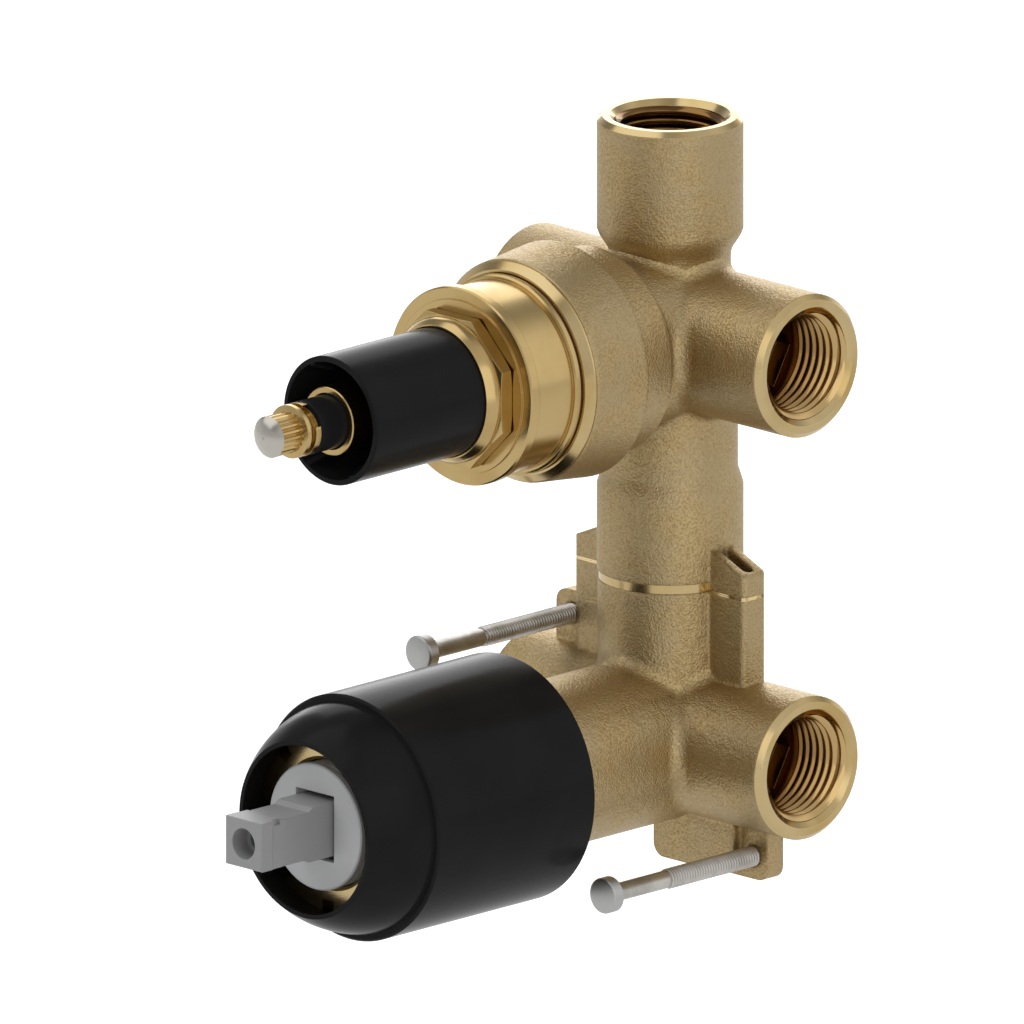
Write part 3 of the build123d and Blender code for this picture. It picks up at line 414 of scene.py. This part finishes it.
def thread_brass(name):
    """Thread ridges: bright near the mouth of a side port, and painted shade makes them dark and
    warm further in.
    """
    material, s, principled, place = new_material(name)
    out = s.math("ABSOLUTE", split(s, place)[0])
    # Painted shade: the ridges darken from the mouth inwards.
    depth = s.step(out, PORT_FACE - 13 * MM, PORT_FACE + 2 * MM, 1.0, 0.0)
    s.join(s.mix(depth, THREAD_BRASS, PAINTED_SHADE_BRASS), socket(principled, "Base Color"))
    socket(principled, "Metallic").default_value = 1.0
    socket(principled, "Roughness").default_value = 0.16
    return material


def plastic(name, base, roughness, variation=0.04, bump=0.00001, edge=0.2 * MM, shine=0.5):
    """Moulded plastic: an even colour with a faint flow pattern and a soft skin."""
    material, s, principled, place = new_material(name)
    flow = s.noise(place, 60.0, 3.0, 0.5)
    skin = s.noise(place, 900.0, 2.0, 0.5)
    lift = variation * 0.02
    lighter = tuple(min(1.0, c * (1 + 4 * variation) + lift) for c in base[:3]) + (1.0,)
    s.join(s.mix(s.step(flow, 0.35, 0.7), base, lighter), socket(principled, "Base Color"))
    s.join(s.blend(flow, roughness, roughness + 0.08), socket(principled, "Roughness"))
    s.join(s.bump(skin, bump, rounded(s, edge)), socket(principled, "Normal"))
    socket(principled, "Specular IOR Level").default_value = shine
    return material


def steel(name, base=colour(0.60, 0.575, 0.54), roughness=0.34):
    """Stainless screws: a drawn shank with fine marks and slight stains, and greyer heads."""
    material, s, principled, place = new_material(name)
    stain = s.noise(place, 220.0, 4.0, 0.6)
    shank = s.mix(s.step(stain, 0.4, 0.7), base, colour(0.47, 0.445, 0.405))
    forward = s.math("MULTIPLY", split(s, place)[1], -1.0)
    head = s.step(forward, HEAD_REAR - 0.6 * MM, HEAD_REAR - 0.4 * MM)
    s.join(s.mix(head, shank, colour(0.48, 0.48, 0.47)), socket(principled, "Base Color"))
    socket(principled, "Metallic").default_value = 1.0
    s.join(s.blend(stain, roughness, roughness + 0.12), socket(principled, "Roughness"))
    s.join(s.bump(stain, 0.00001, rounded(s, 0.12 * MM)), socket(principled, "Normal"))
    return material


def polished(name, base, roughness):
    """A small polished cap with a faint haze."""
    material, s, principled, place = new_material(name)
    haze = s.noise(place, 500.0, 3.0, 0.5)
    socket(principled, "Base Color").default_value = base
    socket(principled, "Metallic").default_value = 1.0
    s.join(s.blend(haze, roughness, roughness + 0.1), socket(principled, "Roughness"))
    return material


def rubber(name, dark=colour(0.012, 0.012, 0.012), light=colour(0.03, 0.03, 0.03)):
    material, s, principled, place = new_material(name)
    dust = s.noise(place, 700.0, 3.0, 0.6)
    s.join(s.mix(dust, dark, light), socket(principled, "Base Color"))
    socket(principled, "Roughness").default_value = 0.55
    s.join(s.bump(dust, 0.00002), socket(principled, "Normal"))
    return material


MATERIALS = {
    "cast_lower": casting_material("cast_lower", 0.0, False, lower_cuts),
    "cast_upper": casting_material("cast_upper", UPPER_Z, True, upper_cuts),
    "brass": turned_brass("turned_brass", COLLAR_BRASS, COLLAR_BRASS_WARM, axis_z=UPPER_Z),
    "brass_nut": turned_brass("cartridge_nut_brass", CUT_BRASS, CUT_BRASS_WARM, axis_z=0.0),
    "thread": thread_brass("thread_brass"),
    "black": plastic("black_plastic", colour(0.015, 0.015, 0.0155), 0.16, shine=0.05),
    "grey": plastic("grey_plastic", colour(0.56, 0.565, 0.57), 0.45, 0.02, 0.00002),
    "lever": plastic("lever_grey", colour(0.35, 0.352, 0.355), 0.36, 0.02, 0.00002, 0.25 * MM),
    "white": plastic("white_plastic", colour(0.78, 0.78, 0.76), 0.4, 0.01),
    "ceramic": plastic("ceramic", colour(0.86, 0.86, 0.84), 0.15, 0.01),
    "rubber": rubber("rubber_seal"),
    "steel": steel("stainless_steel"),
    "seal_brown": rubber("brown_seal", colour(0.060, 0.020, 0.008), colour(0.09, 0.035, 0.014)),
    "dome": polished("dome_steel", colour(0.53, 0.505, 0.455), 0.2),
}

LOOKS = {
    "mixer_body": "cast_lower", "diverter_body": "cast_upper", "joint_o_ring": "rubber",
    "joint_screw_left": "steel", "joint_screw_right": "steel", "trim_screw_left": "steel",
    "trim_screw_right": "steel", "mixer_sleeve": "black", "sleeve_o_ring": "rubber",
    "cartridge_nut": "brass_nut", "cartridge_base": "grey", "base_seal_1": "rubber",
    "base_seal_2": "rubber", "base_seal_3": "rubber", "cartridge_housing": "white",
    "fixed_disc": "ceramic", "moving_disc": "ceramic", "disc_carrier": "white",
    "cartridge_rotor": "white", "stem_disc": "grey", "mixing_lever": "lever",
    "lever_pivot_pin": "steel", "headwork_collar": "brass", "collar_o_ring": "seal_brown",
    "gland_nut": "brass", "diverter_sleeve": "black", "diverter_housing": "brass",
    "stem_bush": "black", "diverter_spindle": "brass", "spindle_end_cap": "dome",
    "spindle_o_ring_1": "rubber", "spindle_o_ring_2": "rubber", "spindle_clip": "brass",
    "diverter_drive": "brass", "diverter_moving_disc": "ceramic",
    "diverter_fixed_disc": "ceramic", "diverter_seat_seal": "rubber",
}


def smooth(obj, angle=32):
    """Join the facets of each curved face and keep the real edges sharp."""
    weld = obj.modifiers.new("weld", "WELD")
    weld.merge_threshold = 0.000002
    for polygon in obj.data.polygons:
        polygon.use_smooth = True
    split_edges = obj.modifiers.new("edges", "EDGE_SPLIT")
    split_edges.split_angle = radians(angle)
    split_edges.use_edge_sharp = False


for node, look in LOOKS.items():
    obj = frame["nodes"][node]
    obj.data.materials.clear()
    obj.data.materials.append(MATERIALS[look])
    smooth(obj)


# Mesh helpers
def mesh_object(name, points, faces, look, body, angle=32):
    """A new piece from points in the frame, riding on a body of the CAD."""
    mesh = bpy.data.meshes.new(name)
    mesh.from_pydata(points, [], faces)
    mesh.update()
    obj = bpy.data.objects.new(name, mesh)
    bpy.context.scene.collection.objects.link(obj)
    mesh.materials.append(MATERIALS[look])
    smooth(obj, angle)
    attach(obj, body)
    return obj


def lathe(profile, origin, axis, side, steps):
    """Points and faces of an outline of (radius, along) turned about an axis through origin."""
    other = axis.cross(side)
    points = []
    for radius, along in profile:
        for i in range(steps):
            a = 2 * pi * i / steps
            points.append(origin + axis * along + (side * cos(a) + other * sin(a)) * radius)
    faces = []
    for row in range(len(profile) - 1):
        for i in range(steps):
            j = (i + 1) % steps
            faces.append((row * steps + i, row * steps + j, (row + 1) * steps + j,
                          (row + 1) * steps + i))
    return points, faces


def helix(origin, axis, side, pitch, length, root, crest, depth, steps=72):
    """Points and faces of a thread ridge round an axis; crest may lie inside or outside root."""
    other = axis.cross(side)
    turns = length / pitch
    count = int(turns * steps)
    section = ((-0.46, 0.0), (-0.30, 0.30), (-0.10, 0.93), (0.0, 1.0), (0.10, 0.93), (0.30, 0.30),
               (0.46, 0.0))
    points = []
    for i in range(count + 1):
        a = 2 * pi * i / steps
        fade = min(1.0, i / (steps * 0.4), (count - i) / (steps * 0.4) + 0.001)
        out = side * cos(a) + other * sin(a)
        for shift, rise in section:
            radius = root + (crest - root) * rise * fade
            if rise == 0.0:
                radius = root + depth
            points.append(origin + axis * (pitch * i / steps + shift * pitch) + out * radius)
    width = len(section)
    faces = []
    for i in range(count):
        for k in range(width - 1):
            a = i * width + k
            faces.append((a, a + 1, a + width + 1, a + width))
    return points, faces


# Cast taper between the waist and the top port
taper = [(14.11, 101.3), (14.06, 100.6), (13.75, 99.7), (13.3, 98.95), (12.8, 98.2), (12.35, 97.5),
         (12.0, 96.8), (11.8, 96.1), (11.72, 95.3), (11.69, 94.4)]
points, faces = lathe([(radius * MM, height * MM) for radius, height in taper], Vector((0, 0, 0)),
                      Vector((0, 0, 1)), Vector((1, 0, 0)), 96)
mesh_object("top_port_taper", points, faces, "cast_upper", "fixed")

# Thread ridges of the ports
PORTS = {
    "thread_inlet_left": (Vector((-PORT_FACE, 0, 0)), Vector((1, 0, 0)), Vector((0, 0, 1))),
    "thread_inlet_right": (Vector((PORT_FACE, 0, 0)), Vector((-1, 0, 0)), Vector((0, 0, 1))),
    "thread_outlet_left": (Vector((-PORT_FACE, 0, UPPER_Z)), Vector((1, 0, 0)), Vector((0, 0, 1))),
    "thread_outlet_right": (Vector((PORT_FACE, 0, UPPER_Z)), Vector((-1, 0, 0)),
                            Vector((0, 0, 1))),
    "thread_outlet_top": (Vector((0, 0, TOP_FACE)), Vector((0, 0, -1)), Vector((1, 0, 0))),
}
for name, (face, inward, side) in PORTS.items():
    points, faces = helix(face + inward * THREAD_START, inward, side, THREAD_PITCH,
                          THREAD_LENGTH - THREAD_START, THREAD_MAJOR, THREAD_MINOR, 0.04 * MM)
    mesh_object(name, points, faces, "thread", "fixed", 50)


# Screws of the trim plate, with their threads
def screw(name, node):
    low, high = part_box(node)
    axis = Vector((0, -1, 0))
    side = Vector((1, 0, 0))
    centre = Vector(((low.x + high.x) / 2, high.y, (low.z + high.z) / 2))
    length = high.y - low.y
    head = length - HEAD_HEIGHT
    shank = head - SCREW_PLAIN
    profile = [(0.0, 0.0), (SCREW_CORE - 0.4 * MM, 0.0), (SCREW_CORE, 0.5 * MM),
               (SCREW_CORE, shank - 0.4 * MM), (SCREW_SHANK_R, shank),
               (SCREW_SHANK_R, head - 0.3 * MM),
               (2.0 * MM, head), (3.25 * MM, head), (3.42 * MM, head + 0.05 * MM),
               (SCREW_HEAD_R, head + 0.16 * MM), (SCREW_HEAD_R, head + 0.24 * MM),
               (SCREW_HEAD_R, head + 2.08 * MM), (SCREW_HEAD_R, head + 2.2 * MM),
               (3.45 * MM, head + 2.38 * MM), (3.3 * MM, head + 2.52 * MM),
               (3.05 * MM, head + 2.62 * MM), (2.4 * MM, head + 2.77 * MM),
               (1.5 * MM, head + 2.92 * MM), (0.7 * MM, head + 2.98 * MM), (0.0, length)]
    points, faces = lathe(profile, centre, axis, side, 64)
    ridge_points, ridge_faces = helix(centre + axis * (0.5 * MM), axis, side, SCREW_PITCH,
                                      shank - 1.2 * MM, SCREW_CORE, SCREW_OUTER, -0.03 * MM, 36)
    offset = len(points)
    points += ridge_points
    faces += [tuple(i + offset for i in face) for face in ridge_faces]
    piece = mesh_object(name, points, faces, "steel", "fixed", 40)
    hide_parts(node)


screw("trim_screw_upper", "trim_screw_left")
screw("trim_screw_lower", "trim_screw_right")


# Floor and world: how bright they are to the camera, in reflections and as light
FLOOR_SIZE = 4.0
FLOOR_DROP = 0.09
FLOOR_TO_CAMERA = 0.55
FLOOR_IN_REFLECTIONS = 0.48
SKY_LOW = 0.52
SKY_HIGH = 0.74
SKY_LEFT = 0.7
CEILING_SHADE = 0.6
SKY_AS_LIGHT = 0.38


def floor():
    size = FLOOR_SIZE
    level = CAD_BOX[0][2] - FLOOR_DROP
    mesh = bpy.data.meshes.new("floor")
    mesh.from_pydata([(-size, -size, level), (size, -size, level), (size, size, level),
                      (-size, size, level)], [], [(0, 1, 2, 3)])
    obj = bpy.data.objects.new("floor", mesh)
    bpy.context.scene.collection.objects.link(obj)
    material = bpy.data.materials.new("floor_white")
    material.use_nodes = True
    s = Shader(material.node_tree)
    principled = next(n for n in s.tree.nodes if n.type == "BSDF_PRINCIPLED")
    socket(principled, "Roughness").default_value = 0.9
    socket(principled, "Specular IOR Level").default_value = 0.1
    socket(principled, "Emission Color").default_value = colour(1, 1, 1)
    path = s.add("ShaderNodeLightPath")
    s.join(s.mix(path.outputs["Is Glossy Ray"], colour(0.9, 0.9, 0.9), colour(0.5, 0.5, 0.5)),
           socket(principled, "Base Color"))
    mirrored = s.math("MULTIPLY", path.outputs["Is Glossy Ray"], FLOOR_IN_REFLECTIONS)
    seen = s.math("MULTIPLY", path.outputs["Is Camera Ray"], FLOOR_TO_CAMERA)
    s.join(s.math("ADD", seen, mirrored), socket(principled, "Emission Strength"))
    mesh.materials.append(material)


def world():
    scene_world = bpy.data.worlds.new("studio")
    bpy.context.scene.world = scene_world
    scene_world.use_nodes = True
    s = Shader(scene_world.node_tree)
    background = next(n for n in s.tree.nodes if n.type == "BACKGROUND")
    direction = s.add("ShaderNodeTexCoord").outputs["Generated"]
    xyz = split(s, direction)
    path = s.add("ShaderNodeLightPath")
    sky = s.step(xyz[2], -0.25, 0.85, SKY_LOW, SKY_HIGH)
    behind = s.step(xyz[1], -0.1, 0.7, 0.0, 1.0)
    left = s.step(s.math("MULTIPLY", xyz[0], -1.0), 0.2, 0.9, 0.0, SKY_LEFT)
    ceiling = s.math("MULTIPLY", s.step(xyz[2], 0.12, 0.45),
                     s.step(xyz[0], 0.0, 0.5, 1.0, 0.0))
    level = s.math("MAXIMUM", s.math("MAXIMUM", sky, behind), left)
    shade = s.math("SUBTRACT", 1.0, s.math("MULTIPLY", ceiling, CEILING_SHADE))
    level = s.math("MULTIPLY", level, shade)
    clear = s.math("MAXIMUM", path.outputs["Is Camera Ray"], path.outputs["Is Transmission Ray"])
    diffuse = s.math("MULTIPLY", path.outputs["Is Diffuse Ray"], SKY_AS_LIGHT)
    other = s.blend(path.outputs["Is Diffuse Ray"], level, diffuse)
    socket(background, "Color").default_value = colour(1, 1, 1)
    s.join(s.blend(clear, other, 1.0), socket(background, "Strength"))


# Lamps: place, width, height and power in watts
LAMPS = {
    "key": ((-0.55, -0.65, 1.15), 1.5, 1.5, 7.0),
    "side": ((1.15, -0.45, 0.35), 1.0, 1.2, 2.5),
    "back": ((-0.7, 0.8, 0.5), 1.0, 1.0, 5.0),
}
LAMP_TARGET = (0.0, -0.04, 0.05)


def lamp(name, place, width, height, power):
    data = bpy.data.lights.new(name, "AREA")
    data.shape = "RECTANGLE"
    data.size = width
    data.size_y = height
    data.energy = power
    obj = bpy.data.objects.new(name, data)
    obj.location = place
    towards = Vector(LAMP_TARGET) - Vector(place)
    obj.rotation_euler = towards.to_track_quat("-Z", "Y").to_euler()
    bpy.context.scene.collection.objects.link(obj)


def camera():
    a = radians(CAMERA_AZIMUTH)
    e = radians(CAMERA_ELEVATION)
    back = Vector((sin(a) * cos(e), -cos(a) * cos(e), sin(e)))
    right = Vector((cos(a), sin(a), 0))
    up = back.cross(right)
    data = bpy.data.cameras.new("camera")
    data.type = "ORTHO"
    data.ortho_scale = CAMERA_WIDTH
    data.clip_start = 0.01
    data.clip_end = 20
    obj = bpy.data.objects.new("camera", data)
    turned = Matrix((right, up, back)).transposed()
    obj.matrix_world = Matrix.Translation(back * CAMERA_DISTANCE + right * CAMERA_RIGHT
                                          + up * CAMERA_UP) @ turned.to_4x4()
    bpy.context.scene.collection.objects.link(obj)
    bpy.context.scene.camera = obj


floor()
world()
for name, (place, width, height, power) in LAMPS.items():
    lamp(name, place, width, height, power)
camera()
bpy.context.scene.view_settings.view_transform = "Standard"
